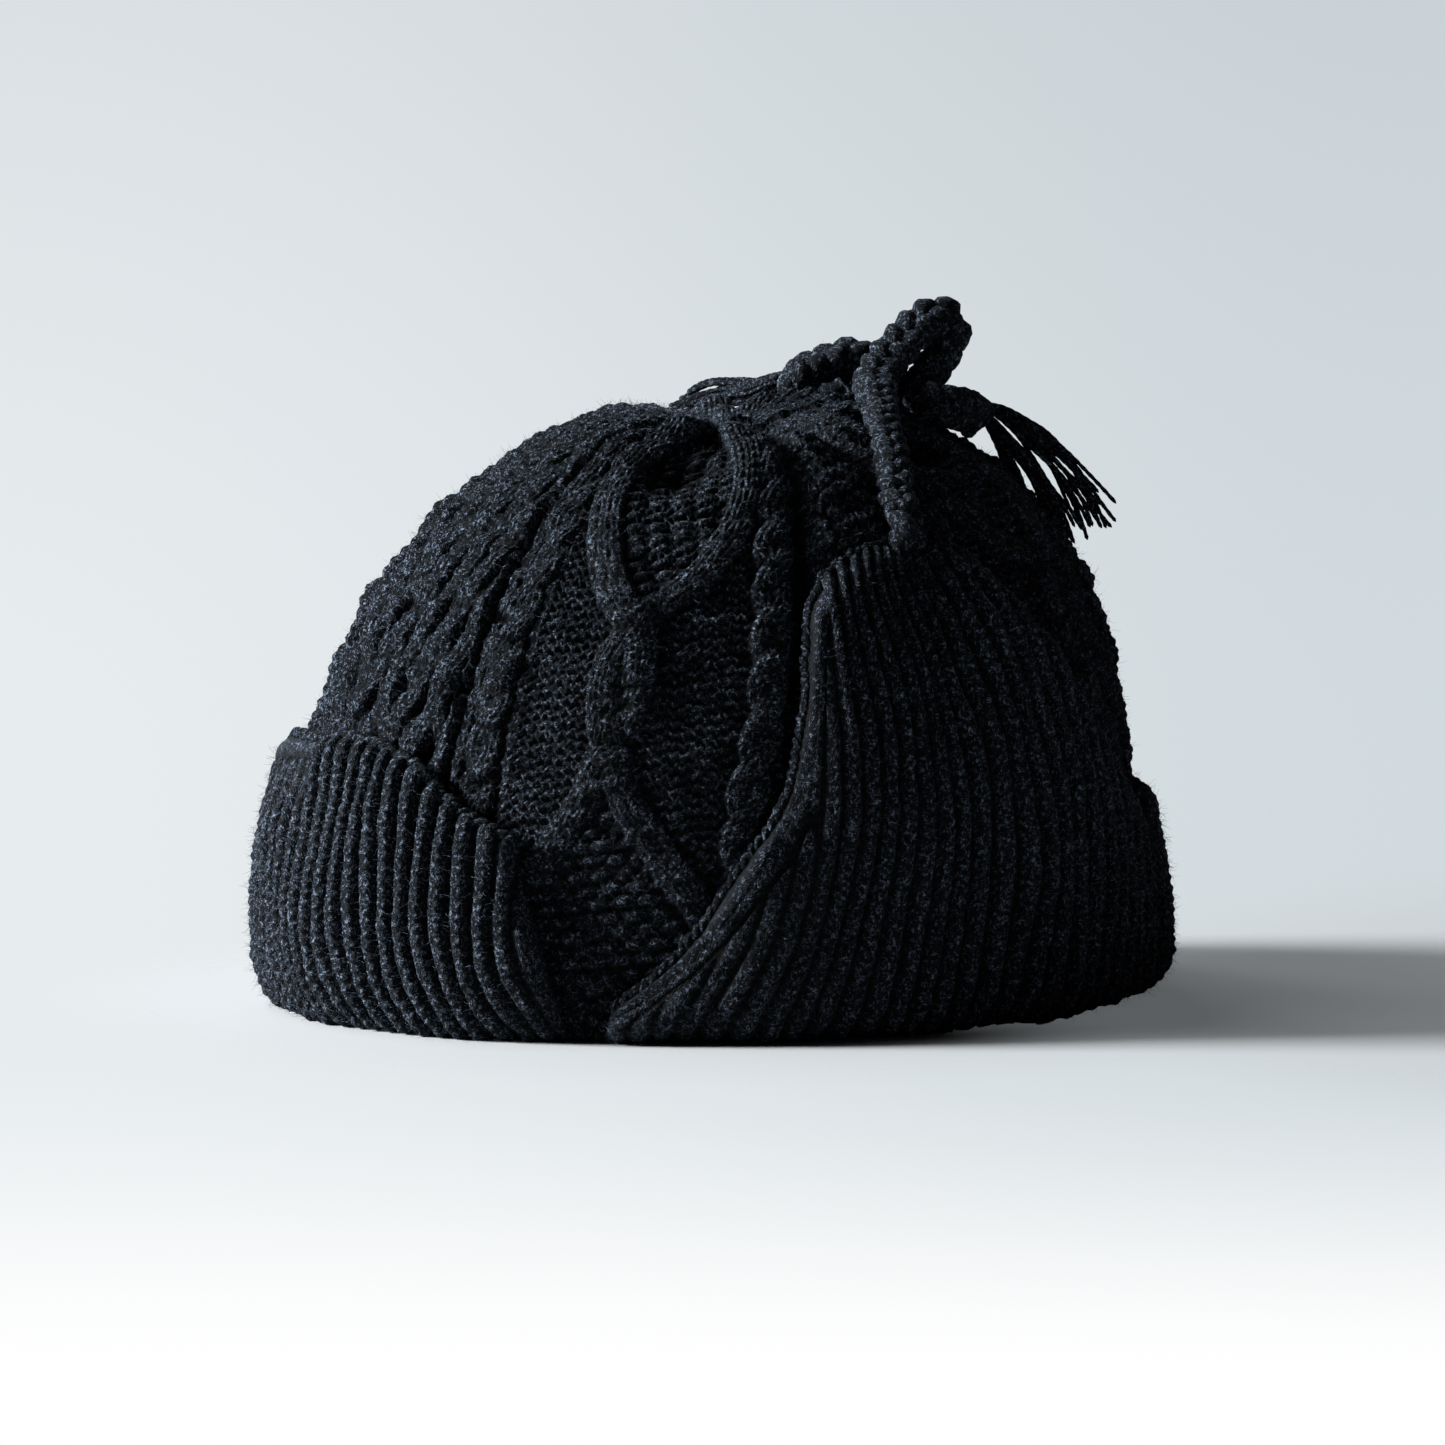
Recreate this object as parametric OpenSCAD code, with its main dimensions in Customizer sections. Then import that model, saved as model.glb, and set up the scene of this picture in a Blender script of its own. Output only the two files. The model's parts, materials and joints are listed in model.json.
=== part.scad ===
// Cable-knit ear-flap hat with its flaps turned up and its braided ties bowed on top.
// +Z is up, the hat faces -Y, the wearer's left ear is at +X, and it stands on z = 0.

/* [Crown] */
// Outside length of the crown, front to back
crown_length = 216; // [190:1:240]
// Outside width of the crown, ear to ear
crown_width = 182; // [160:1:205]
// Height of the crown
crown_height = 147; // [130:1:155]
// Thickness of the knitted wall
wall = 5; // [3:0.5:7]
// Height of the rim band at the foot of the crown
rim_height = 5; // [4:0.5:8]
// How far the gathered top sits to the left of the middle
gather_side = 24; // [0:1:30]
// How far the gathered top sits in front of the middle
gather_forward = 8; // [0:1:20]

/* [Flaps] */
// Thickness of the ribbed flaps
flap_thickness = 10; // [6:0.5:12]
// Thickness of an ear flap at its tip
tip_thickness = 7; // [5:0.5:9]
// Space between a flap and the crown
flap_gap = 1; // [0.8:0.1:2]
// Height of the flaps' folded edge above the ground
flap_lift = 1.5; // [1:0.5:3]
// Height of the front flap's free edge
front_height = 68; // [45:1:80]
// How far the front flap's free edge stands off the crown
front_lean = 6; // [0:0.5:8]
// Height of the ear flaps at their tips
ear_height = 114; // [95:1:118]
// Height of the neck flap's free edge
neck_height = 50; // [40:1:60]
// Thickness of the crocheted edging
edging_d = 3.2; // [2:0.2:4]

/* [Ties] */
// Thickness of the braided ties
tie_d = 8.4; // [6:0.2:8.6]
// Width of the knot at each tie's end
end_knot_d = 11.6; // [9:0.2:12]
// Width of the knot that holds the bow
bow_knot_d = 15; // [12:0.5:15]
// Width of the stitched lump that holds a tie to its flap
anchor_d = 9; // [7:0.5:10]

/* [Hidden] */

half_l = crown_length / 2;
half_w = crown_width / 2;
around_steps = 72;   // facets round the crown
up_steps = 14;       // facets up the crown
face_steps = 8;      // facets up each face of a flap
round_steps = 4;     // facets round a flap's edge
edging_sides = 8;
tie_sides = 10;
fit = 0.2;           // space between pieces of one body that lie together
gather_r = 4;
gather_yarn_d = 2.6;
gather_lift = 1.1;   // keeps the level ring of yarn off the sloping crown

wool = [0.10, 0.12, 0.16];
wool_rib = [0.08, 0.10, 0.13];
wool_edge = [0.14, 0.16, 0.20];

// Free edges: angle from the front in degrees, and share of the flap's own height.
front_edge = [[-43, 0.68], [-40, 0.72], [-32, 0.82], [-26, 0.93], [-18, 0.98], [0, 1],
    [18, 0.98], [26, 0.93], [32, 0.82], [40, 0.72], [43, 0.68]];
ear_edge = [[51, 0.06], [56, 0.13], [61, 0.20], [67, 0.32], [72, 0.46], [75.5, 0.63], [77.5, 0.80],
    [79.5, 0.90], [84, 0.955], [90, 0.985], [96, 1], [103, 0.985], [108.5, 0.945], [113, 0.86],
    [118, 0.75], [123, 0.64], [129, 0.53], [135, 0.46], [141, 0.43]];
neck_edge = [[142, 0.98], [152, 0.99], [165, 1], [180, 1], [195, 1], [208, 0.99], [218, 0.98]];
tip_angle = 96;

// Routes of the ties, from the ear flap's tip to the knot at the tie's end.
left_route = [[70, 10, 124], [62, 14, 132], [50, 19, 140], [40, 24, 145], [30, 29, 149], [23, 33, 152],
    [20, 38, 157], [20, 43, 162], [20, 49, 167], [20, 55, 168], [20, 57, 163], [20, 52, 156],
    [22, 47, 150], [27, 46, 147], [29, 51, 146], [26, 57, 145], [22, 62, 144]];
right_route = [[-70, 11, 124], [-62, 17, 131], [-50, 25, 138], [-38, 31, 142], [-25, 35, 146],
    [-12, 37, 149], [-3, 39, 151], [0, 44, 152], [-5, 50, 149], [-12, 56, 146], [-18, 62, 142],
    [-15, 69, 138], [-7, 67, 139], [1, 61, 143], [7, 54, 147], [10, 47, 152], [10, 40, 157],
    [8, 33, 158], [6, 27, 156], [4, 22, 153]];
left_tail = [[22, 66, 145], [23, 70, 142], [24, 75, 137], [24, 81, 131], [26, 87, 121], [28, 92, 111]];
right_tail = [[-1, 21, 153], [-6, 21, 152], [-14, 21, 150], [-24, 20, 149], [-34, 18, 147], [-44, 15, 143]];
bow_knot_at = [6, 42, 153];

// Roundness of the crown's outline, fuller at the back than at the front.
function shoulder(phi) = 3.2 - 0.8 * cos(phi);
function brow(phi) = 2.15 - 0.15 * cos(phi);

// Share of the crown's full width at height z, on a surface that lies off outside the crown.
function taper(phi, z, off) =
    pow(1 - pow(min(max(z, 0) / (crown_height + off), 1), shoulder(phi)), 1 / brow(phi));

// Point at angle phi and height z on a surface that lies off outside the crown.
function on_crown(phi, z, off) = let (w = taper(phi, z, off))
    [(half_w + off) * w * sin(phi), -(half_l + off) * w * cos(phi), z];

// Height of the crown's outside at x, y.
function crown_z(x, y) = let (phi = atan2(x / half_w, -y / half_l), w = norm([x / half_w, y / half_l]))
    crown_height * pow(1 - pow(w, brow(phi)), 1 / shoulder(phi));

// Point on the crown's surface, where s runs from 0 at the ground to 1 at the top.
function dome_point(phi, s, off) = let (w = pow(cos(90 * s), 2 / brow(phi)))
    [(half_w + off) * w * sin(phi), -(half_l + off) * w * cos(phi),
        (crown_height + off) * pow(sin(90 * s), 2 / shoulder(phi))];
function dome_start(phi, off) = asin(pow(rim_height / (crown_height + off), shoulder(phi) / 2)) / 90;

function smooth(a, b, c, d, t) =
    0.5 * (2 * b + (c - a) * t + (2 * a - 5 * b + 4 * c - d) * t * t + (3 * b - a - 3 * c + d) * t * t * t);

// Smooth curve through points, with steps pieces between each two of them.
function curve(p, steps) = [for (i = [0 : len(p) - 2], k = [0 : steps - 1])
    smooth(p[max(i - 1, 0)], p[i], p[i + 1], p[min(i + 2, len(p) - 1)], k / steps), p[len(p) - 1]];

function unit(v) = v / norm(v);
function tangent(p, i) = unit(p[min(i + 1, len(p) - 1)] - p[max(i - 1, 0)]);
function square_to(v, t) = unit(v - (v * t) * t);

// Sideways directions along a path, carried from ring to ring without twist.
function sides_along(p, i, u) = let (now = square_to(u, tangent(p, i)))
    i == len(p) - 1 ? [now] : concat([now], sides_along(p, i + 1, now));

// Closed skin over rings of n points each, with a flat fan at both ends.
module skin(rings) {
    n = len(rings[0]);
    m = len(rings);
    points = concat([for (r = rings) each r], [mean(rings[0]), mean(rings[m - 1])]);
    walls = [for (j = [0 : m - 2], i = [0 : n - 1]) let (k = (i + 1) % n)
        each [[j * n + i, (j + 1) * n + k, j * n + k], [j * n + i, (j + 1) * n + i, (j + 1) * n + k]]];
    start = [for (i = [0 : n - 1]) [m * n, i, (i + 1) % n]];
    end = [for (i = [0 : n - 1]) [m * n + 1, (m - 1) * n + (i + 1) % n, (m - 1) * n + i]];
    polyhedron(points, concat(walls, start, end), convexity = 8);
}

function mean(p) = [for (k = [0 : 2]) sum([for (q = p) q[k]]) / len(p)];
function sum(v, i = 0) = i == len(v) ? 0 : v[i] + sum(v, i + 1);

// Tube along path p, wide[i] to each side and high[i] up and down.
module tube(p, wide, high, sides, up = [0, 0, 1]) {
    ups = sides_along(p, 0, up);
    skin([for (i = [0 : len(p) - 1]) let (t = tangent(p, i), v = ups[i], u = cross(t, v))
        [for (k = [0 : sides - 1]) let (a = -360 * k / sides)
            p[i] + wide[min(i, len(wide) - 1)] * cos(a) * u + high[min(i, len(high) - 1)] * sin(a) * v]]);
}

// Upright section of a flap as points of depth and height, rounded where it folds and at its edge.
function flap_section(low, high, foot, tip) =
    let (r0 = min(foot / 2, (high - low) / 2.5), r1 = min(tip / 2, (high - low) / 2.5))
    concat(
        [for (k = [0 : face_steps]) let (v = k / face_steps) [0, low + r0 + v * (high - low - r0 - r1)]],
        [for (k = [1 : round_steps - 1]) let (a = 180 * k / round_steps)
            [tip / 2 * (1 - cos(a)), high - r1 + r1 * sin(a)]],
        [for (k = [face_steps : -1 : 0]) let (v = k / face_steps)
            [foot + v * (tip - foot), low + r0 + v * (high - low - r0 - r1)]],
        [for (k = [1 : round_steps - 1]) let (a = 180 * k / round_steps)
            [foot / 2 * (1 + cos(a)), low + r0 - r0 * sin(a)]]);

function stand_off(z, height, lean) = flap_gap + lean * pow(max(z, 0) / height, 2);

// Turned-up flap whose free edge follows points of angle and share of height.
module flap(edge, height, tip, lean) {
    line = curve(edge, 2);
    skin([for (q = line)
        [for (p = flap_section(flap_lift, q[1] * height, flap_thickness, tip))
            on_crown(q[0], p[1], stand_off(p[1], height, lean) + p[0])]]);
}

// Edging that lies along a flap's free edge.
module edging(edge, height, tip, lean) {
    line = curve(edge, 2);
    rise = edging_d / 2 + fit;
    top = [for (q = line) on_crown(q[0], q[1] * height, stand_off(q[1] * height, height, lean) + tip / 2)];
    path = [for (i = [0 : len(top) - 1]) let (t = tangent(top, i), out = [sin(line[i][0]), -cos(line[i][0]), 0])
        top[i] + rise * unit(cross(out, t))];
    tube(path, [edging_d / 2], [edging_d / 2], edging_sides);
}

// Middle of the lump that joins a tie to its flap, on top of the edging at the ear flap's tip.
anchor_at = on_crown(tip_angle, ear_height, flap_gap + tip_thickness / 2)
    + [0, 0, edging_d + 2 * fit + anchor_d / 2];

module crown_shell() color(wool) {
    turns = [for (i = [0 : around_steps - 1]) 360 * i / around_steps];
    outside = [for (k = [0 : up_steps - 1], phi = turns) let (s0 = dome_start(phi, 0))
        dome_point(phi, s0 + (1 - s0) * k / up_steps, 0)];
    inside = [for (k = [0 : up_steps - 1], phi = turns) let (s0 = dome_start(phi, -wall))
        dome_point(phi, s0 + (1 - s0) * k / up_steps, -wall)];
    n = around_steps;
    m = n * up_steps;
    outer_walls = [for (j = [0 : up_steps - 2], i = [0 : n - 1]) let (k = (i + 1) % n)
        each [[j * n + i, (j + 1) * n + k, j * n + k], [j * n + i, (j + 1) * n + i, (j + 1) * n + k]]];
    inner_walls = [for (f = outer_walls) [m + f[0], m + f[2], m + f[1]]];
    outer_top = [for (i = [0 : n - 1]) [m - n + i, 2 * m, m - n + (i + 1) % n]];
    inner_top = [for (i = [0 : n - 1]) [2 * m - n + i, 2 * m - n + (i + 1) % n, 2 * m + 1]];
    foot = [for (i = [0 : n - 1]) let (k = (i + 1) % n) each [[i, k, m + k], [i, m + k, m + i]]];
    polyhedron(concat(outside, inside, [[0, 0, crown_height], [0, 0, crown_height - wall]]),
        concat(outer_walls, inner_walls, outer_top, inner_top, foot), convexity = 4);
}

module rim_band() color(wool_rib)
    linear_extrude(height = rim_height)
        difference() {
            polygon([for (i = [0 : around_steps - 1]) let (a = 360 * i / around_steps)
                [half_w * sin(a), -half_l * cos(a)]]);
            polygon([for (i = [0 : around_steps - 1]) let (a = 360 * i / around_steps)
                [(half_w - wall) * sin(a), -(half_l - wall) * cos(a)]]);
        }

module gather_yarn() color(wool_edge)
    translate([gather_side, -gather_forward,
            crown_z(gather_side, -gather_forward) + gather_yarn_d / 2 + gather_lift])
        rotate_extrude($fn = 32)
            translate([gather_r, 0]) circle(d = gather_yarn_d, $fn = 16);

module front_flap() color(wool_rib) flap(front_edge, front_height, flap_thickness, front_lean);
module front_edging() color(wool_edge) edging(front_edge, front_height, flap_thickness, front_lean);
module neck_flap() color(wool_rib) flap(neck_edge, neck_height, flap_thickness, 0);
module neck_edging() color(wool_edge) edging(neck_edge, neck_height, flap_thickness, 0);

module ear_flap() color(wool_rib) flap(ear_edge, ear_height, tip_thickness, 0);
module ear_edging() color(wool_edge) edging(ear_edge, ear_height, tip_thickness, 0);
module tie_anchor() color(wool_edge) translate(anchor_at) sphere(d = anchor_d, $fn = 24);

module left_ear_flap() ear_flap();
module left_ear_edging() ear_edging();
module left_tie_anchor() tie_anchor();
module right_ear_flap() mirror([1, 0, 0]) ear_flap();
module right_ear_edging() mirror([1, 0, 0]) ear_edging();
module right_tie_anchor() mirror([1, 0, 0]) tie_anchor();

module tie(route) color(wool) tube(curve(route, 2), [tie_d / 2], [tie_d / 2], tie_sides);
module end_knot(route) color(wool_edge) translate(route[len(route) - 1]) sphere(d = end_knot_d, $fn = 24);

// Tassel that spreads from the knot at the tie's end.
module tassel(tail) color(wool_edge) {
    n = len(tail) - 1;
    tube(tail, [for (i = [0 : n]) tie_d * (0.3 + 0.5 * i / n)], [for (i = [0 : n]) tie_d * 0.3], tie_sides);
}

module left_tie() tie(left_route);
module left_end_knot() end_knot(left_route);
module left_tassel() tassel(left_tail);
module right_tie() tie(right_route);
module right_end_knot() end_knot(right_route);
module right_tassel() tassel(right_tail);
module bow_knot() color(wool_edge) translate(bow_knot_at) sphere(d = bow_knot_d, $fn = 24);

crown_shell();
rim_band();
gather_yarn();
front_flap();
front_edging();
neck_flap();
neck_edging();
left_ear_flap();
left_ear_edging();
left_tie_anchor();
right_ear_flap();
right_ear_edging();
right_tie_anchor();
left_tie();
left_end_knot();
left_tassel();
right_tie();
right_end_knot();
right_tassel();
bow_knot();
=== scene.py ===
import json
import math

import bpy
import numpy as np
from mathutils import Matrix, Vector


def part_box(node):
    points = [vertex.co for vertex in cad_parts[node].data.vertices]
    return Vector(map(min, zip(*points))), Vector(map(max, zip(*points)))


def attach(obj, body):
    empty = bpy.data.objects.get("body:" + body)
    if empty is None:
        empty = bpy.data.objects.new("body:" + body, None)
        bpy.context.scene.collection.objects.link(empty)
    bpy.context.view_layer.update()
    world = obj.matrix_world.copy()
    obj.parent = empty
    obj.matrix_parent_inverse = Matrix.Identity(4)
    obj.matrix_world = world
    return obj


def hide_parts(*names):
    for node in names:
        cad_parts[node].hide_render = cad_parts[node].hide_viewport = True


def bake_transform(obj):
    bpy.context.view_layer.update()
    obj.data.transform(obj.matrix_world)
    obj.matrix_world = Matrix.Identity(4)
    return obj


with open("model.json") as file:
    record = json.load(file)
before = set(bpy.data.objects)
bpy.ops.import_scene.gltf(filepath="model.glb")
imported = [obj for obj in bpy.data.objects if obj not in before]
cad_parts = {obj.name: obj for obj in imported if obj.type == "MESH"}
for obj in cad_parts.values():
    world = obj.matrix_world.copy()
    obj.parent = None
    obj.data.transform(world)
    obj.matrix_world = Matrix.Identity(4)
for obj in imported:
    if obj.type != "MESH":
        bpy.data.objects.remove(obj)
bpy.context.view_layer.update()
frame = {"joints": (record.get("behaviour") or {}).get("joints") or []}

# Camera, soft light from the left and a pale floor.
# The camera stands in front of the wearer's left ear, a little above the rim.
MM = 0.001
VIEW_TURN = math.radians(60)
VIEW_RISE = math.radians(7)
VIEW_FAR = 1.3
AIM_RIGHT, AIM_UP = 0.0024, 0.0674
LENS = 129.5

scene = bpy.context.scene
scene.view_settings.view_transform = "Standard"
to_camera = Vector((math.sin(VIEW_TURN) * math.cos(VIEW_RISE),
                    -math.cos(VIEW_TURN) * math.cos(VIEW_RISE), math.sin(VIEW_RISE)))
to_right = Vector((math.cos(VIEW_TURN), math.sin(VIEW_TURN), 0))
to_up = to_camera.cross(to_right)


def aim(thing, place, target):
    thing.location = place
    thing.rotation_euler = (Vector(target) - Vector(place)).to_track_quat("-Z", "Y").to_euler()


camera = bpy.data.objects.new("camera", bpy.data.cameras.new("camera"))
camera.data.lens = LENS
camera.data.sensor_width = 36
aim(camera, to_camera * VIEW_FAR, to_right * AIM_RIGHT + to_up * AIM_UP)
scene.collection.objects.link(camera)
scene.camera = camera


def softbox(name, right, up, near, size, power, colour):
    lamp = bpy.data.objects.new(name, bpy.data.lights.new(name, "AREA"))
    lamp.data.shape = "SQUARE"
    lamp.data.size = size
    lamp.data.energy = power
    lamp.data.color = colour
    flat_near = Vector((to_camera.x, to_camera.y, 0)).normalized()
    aim(lamp, to_right * right + Vector((0, 0, up)) + flat_near * near, (0, 0, 0.06))
    scene.collection.objects.link(lamp)


softbox("key_light", -2.1, 1.05, 0.03, 0.63, 208, (0.93, 0.98, 1.0))
softbox("top_light", -0.7, 1.6, -0.4, 0.5, 6, (0.95, 0.98, 1.0))
softbox("rim_light", 1.2, 0.7, -1.3, 0.7, 1.2, (0.9, 0.96, 1.0))
softbox("back_light", -0.3, 0.55, -1.9, 0.8, 13, (0.95, 0.98, 1.0))


def new_nodes(owner):
    owner.use_nodes = True
    tree = owner.node_tree
    tree.nodes.clear()
    return tree


def add_node(tree, kind, settings=(), **inputs):
    """Adds a node, with its settings, and sets or links its inputs by name."""
    node = tree.nodes.new(kind)
    for name, value in dict(settings).items():
        setattr(node, name, value)
    for name, value in inputs.items():
        put(tree, node.inputs[int(name[1:]) if name[0] == "_" else name.replace("_", " ")], value)
    return node


def put(tree, socket, value):
    if isinstance(value, bpy.types.NodeSocket):
        tree.links.new(value, socket)
    else:
        socket.default_value = value


def maths(tree, job, a, b=0.0, c=0.0):
    return add_node(tree, "ShaderNodeMath", {"operation": job}, _0=a, _1=b, _2=c).outputs[0]


def ramp(tree, value, low, high, to_low=0.0, to_high=1.0):
    node = add_node(tree, "ShaderNodeMapRange", {"interpolation_type": "SMOOTHSTEP"}, Value=value)
    node.inputs["From Min"].default_value, node.inputs["From Max"].default_value = low, high
    node.inputs["To Min"].default_value, node.inputs["To Max"].default_value = to_low, to_high
    return node.outputs[0]


def along(tree, vector, direction):
    return add_node(tree, "ShaderNodeVectorMath", {"operation": "DOT_PRODUCT"}, _0=vector,
                    _1=tuple(direction)).outputs["Value"]


def mix_colour(tree, share, a, b):
    node = add_node(tree, "ShaderNodeMix", {"data_type": "RGBA"})
    put(tree, node.inputs[0], share)
    put(tree, node.inputs[6], a)
    put(tree, node.inputs[7], b)
    return node.outputs[2]


# The backdrop that the camera sees is painted light: lighter on the left, where the key light falls, darker
# towards the top right, and white below the horizon, where the lit floor lies. For all other rays the world
# is a faint even glow.
BACK_LEFT, BACK_RIGHT, BACK_TOP = (0.80, 0.84, 0.86, 1), (0.64, 0.70, 0.73, 1), (0.40, 0.44, 0.48, 1)
world = bpy.data.worlds.new("studio")
scene.world = world
tree = new_nodes(world)
heading = add_node(tree, "ShaderNodeTexCoord").outputs["Generated"]
side = ramp(tree, along(tree, heading, to_right), -0.14, 0.14)
height = along(tree, heading, (0, 0, 1))
wall = mix_colour(tree, side, BACK_LEFT, BACK_RIGHT)
wall = mix_colour(tree, ramp(tree, height, -0.08, 0.16, 0.0, 0.35), wall, BACK_TOP)
wall = mix_colour(tree, ramp(tree, height, -0.196, -0.129, 1.0, 0.0), wall, (1.0, 1.0, 1.0, 1))
seen = add_node(tree, "ShaderNodeBackground", Color=wall, Strength=1.0)
lit = add_node(tree, "ShaderNodeBackground", Color=(0.8, 0.9, 1.0, 1), Strength=0.010)
eye = add_node(tree, "ShaderNodeLightPath").outputs["Is Camera Ray"]
mixed = add_node(tree, "ShaderNodeMixShader", _0=eye, _1=lit.outputs[0], _2=seen.outputs[0])
add_node(tree, "ShaderNodeOutputWorld", Surface=mixed.outputs[0])

bpy.ops.mesh.primitive_circle_add(vertices=96, radius=3.0, fill_type="TRIFAN")
floor = bpy.context.object
floor.name = "floor"
material = bpy.data.materials.new("pale_floor")
floor.data.materials.append(material)
tree = new_nodes(material)
spot = add_node(tree, "ShaderNodeTexCoord").outputs["Object"]
far = add_node(tree, "ShaderNodeVectorMath", {"operation": "LENGTH"}, _0=spot).outputs["Value"]
in_shade = ramp(tree, maths(tree, "DIVIDE", along(tree, spot, to_right), far), 0.5, 0.9)
near_hat = ramp(tree, far, 0.10, 0.18, 0.0, 1.0)
past_shade = ramp(tree, far, 0.15, 0.62, 0.15, 1.0)
away = maths(tree, "MULTIPLY_ADD", in_shade, maths(tree, "SUBTRACT", past_shade, near_hat), near_hat)
matt = add_node(tree, "ShaderNodeBsdfDiffuse", Color=(0.40, 0.40, 0.405, 1))
clear = add_node(tree, "ShaderNodeBsdfTransparent")
ray = add_node(tree, "ShaderNodeLightPath").outputs
faded = maths(tree, "MAXIMUM", maths(tree, "MULTIPLY", ray["Is Camera Ray"], away), ray["Is Shadow Ray"])
mixed = add_node(tree, "ShaderNodeMixShader", _0=faded, _1=matt.outputs[0], _2=clear.outputs[0])
add_node(tree, "ShaderNodeOutputMaterial", Surface=mixed.outputs[0])

# Wool. A dark navy worsted yarn, dull and a little hairy, with light painted into its colour: painted shade,
# near black, in the hollows between stitches, and paler fibre tips on the raised stitches that are painted
# highlights.
# The stitch pattern follows each piece's own "knit" map of wales and courses.
DEEP, NAVY, SLATE_HIGHLIGHT = (0.0005, 0.0006, 0.0010, 1), (0.0024, 0.0032, 0.0052, 1), (0.165, 0.208, 0.280, 1)


def new_group(name, inputs, outputs):
    tree = bpy.data.node_groups.new(name, "ShaderNodeTree")
    for label, kind, value in inputs:
        socket = tree.interface.new_socket(label, in_out="INPUT", socket_type="NodeSocket" + kind)
        if value is not None:
            socket.default_value = value
    for label, kind in outputs:
        tree.interface.new_socket(label, in_out="OUTPUT", socket_type="NodeSocket" + kind)
    return tree, tree.nodes.new("NodeGroupInput"), tree.nodes.new("NodeGroupOutput")


def noise(tree, place, scale, detail, rough=0.6):
    return add_node(tree, "ShaderNodeTexNoise", Vector=place, Scale=scale, Detail=detail,
                    Roughness=rough).outputs["Fac"]


tree, given, result = new_group(
    "wool_fibres", [("Place", "Vector", None), ("Relief", "Float", 1.0), ("Pale", "Float", 0.5)],
    [("Color", "Color"), ("Roughness", "Float"), ("Height", "Float")])
place = given.outputs["Place"]
streaks = [noise(tree, add_node(tree, "ShaderNodeVectorMath", {"operation": "MULTIPLY"}, _0=place,
                                _1=scales).outputs[0], 1, 2, 0.6)
           for scales in ((2300, 800, 750), (750, 2200, 850), (800, 750, 2300))]
hairs = maths(tree, "MAXIMUM", maths(tree, "MAXIMUM", streaks[0], streaks[1]), streaks[2])
grain = noise(tree, place, 900, 3, 0.7)
patch = noise(tree, place, 38, 2)
# Painted highlight: pale fibre tips, only on the raised stitches, where light would catch them.
tip_highlights = maths(tree, "MULTIPLY", ramp(tree, hairs, 0.57, 0.65), ramp(tree, grain, 0.44, 0.56))
highlight_share = maths(tree, "MULTIPLY", maths(tree, "MULTIPLY", tip_highlights, given.outputs["Pale"]), given.outputs["Relief"])
# Painted shade: near black in the hollows between stitches, navy on the raised stitches. Random patches
# darken it as well, as the yarn's own tone.
base = mix_colour(tree, given.outputs["Relief"], DEEP, NAVY)
base = mix_colour(tree, ramp(tree, patch, 0.3, 0.7, 0.0, 0.25), base, DEEP)
put(tree, result.inputs["Color"], mix_colour(tree, highlight_share, base, SLATE_HIGHLIGHT))
put(tree, result.inputs["Roughness"], ramp(tree, grain, 0.3, 0.7, 0.98, 0.80))
put(tree, result.inputs["Height"], maths(tree, "ADD", maths(tree, "MULTIPLY", hairs, 0.8), grain))

tree, given, result = new_group("yarn_plies", [("Map", "Vector", None)], [("Height", "Float")])
parts = add_node(tree, "ShaderNodeSeparateXYZ", _0=given.outputs["Map"])
across = maths(tree, "ABSOLUTE", maths(tree, "SUBTRACT", maths(tree, "FRACT", parts.outputs[0]), 0.5))
leg = maths(tree, "SUBTRACT", 1.0, maths(tree, "ABSOLUTE", maths(tree, "MULTIPLY_ADD", across, 4.0, -1.0)))
turn = maths(tree, "MULTIPLY_ADD", across, -1.6, parts.outputs[1])
stack = maths(tree, "COSINE", maths(tree, "MULTIPLY", turn, 2 * math.pi))
twist = maths(tree, "MULTIPLY_ADD", across, 7.0, turn)
twist = maths(tree, "COSINE", maths(tree, "MULTIPLY", twist, 5 * math.pi))
stack = maths(tree, "MULTIPLY_ADD", stack, 0.35, leg)
put(tree, result.inputs["Height"], maths(tree, "MULTIPLY_ADD", twist, 0.16, stack))


def wool(name, highlight_share, stitch_depth, fibre_depth=0.9, sheen=0.05):
    """Wool finish. The second argument is the share of pale fibre tips, painted as highlights on the raised
    stitches, and the depths are in millimetres.
    """
    material = bpy.data.materials.new(name)
    tree = new_nodes(material)
    place = add_node(tree, "ShaderNodeTexCoord").outputs["Object"]
    # This attribute carries painted shade: low in the hollows between stitches, high on their raised tops.
    relief = add_node(tree, "ShaderNodeAttribute", {"attribute_name": "relief"}).outputs["Fac"]
    fibres = add_node(tree, "ShaderNodeGroup", {"node_tree": bpy.data.node_groups["wool_fibres"]},
                      Place=place, Relief=relief, Pale=highlight_share)
    plies = add_node(tree, "ShaderNodeGroup", {"node_tree": bpy.data.node_groups["yarn_plies"]},
                     Map=add_node(tree, "ShaderNodeUVMap", {"uv_map": "knit"}).outputs[0])
    stitches = add_node(tree, "ShaderNodeBump", Height=plies.outputs[0], Strength=1.0,
                        Distance=stitch_depth * MM)
    hairy = add_node(tree, "ShaderNodeBump", Height=fibres.outputs["Height"], Strength=1.0,
                     Distance=fibre_depth * MM, Normal=stitches.outputs[0])
    cloth = add_node(tree, "ShaderNodeBsdfPrincipled", Base_Color=fibres.outputs["Color"],
                     Roughness=fibres.outputs["Roughness"], Normal=hairy.outputs[0])
    cloth.inputs["Specular IOR Level"].default_value = 0.12
    cloth.inputs["Sheen Weight"].default_value = sheen
    cloth.inputs["Sheen Roughness"].default_value = 0.45
    cloth.inputs["Sheen Tint"].default_value = (0.55, 0.68, 0.85, 1)
    add_node(tree, "ShaderNodeOutputMaterial", Surface=cloth.outputs[0])
    return material


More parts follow.
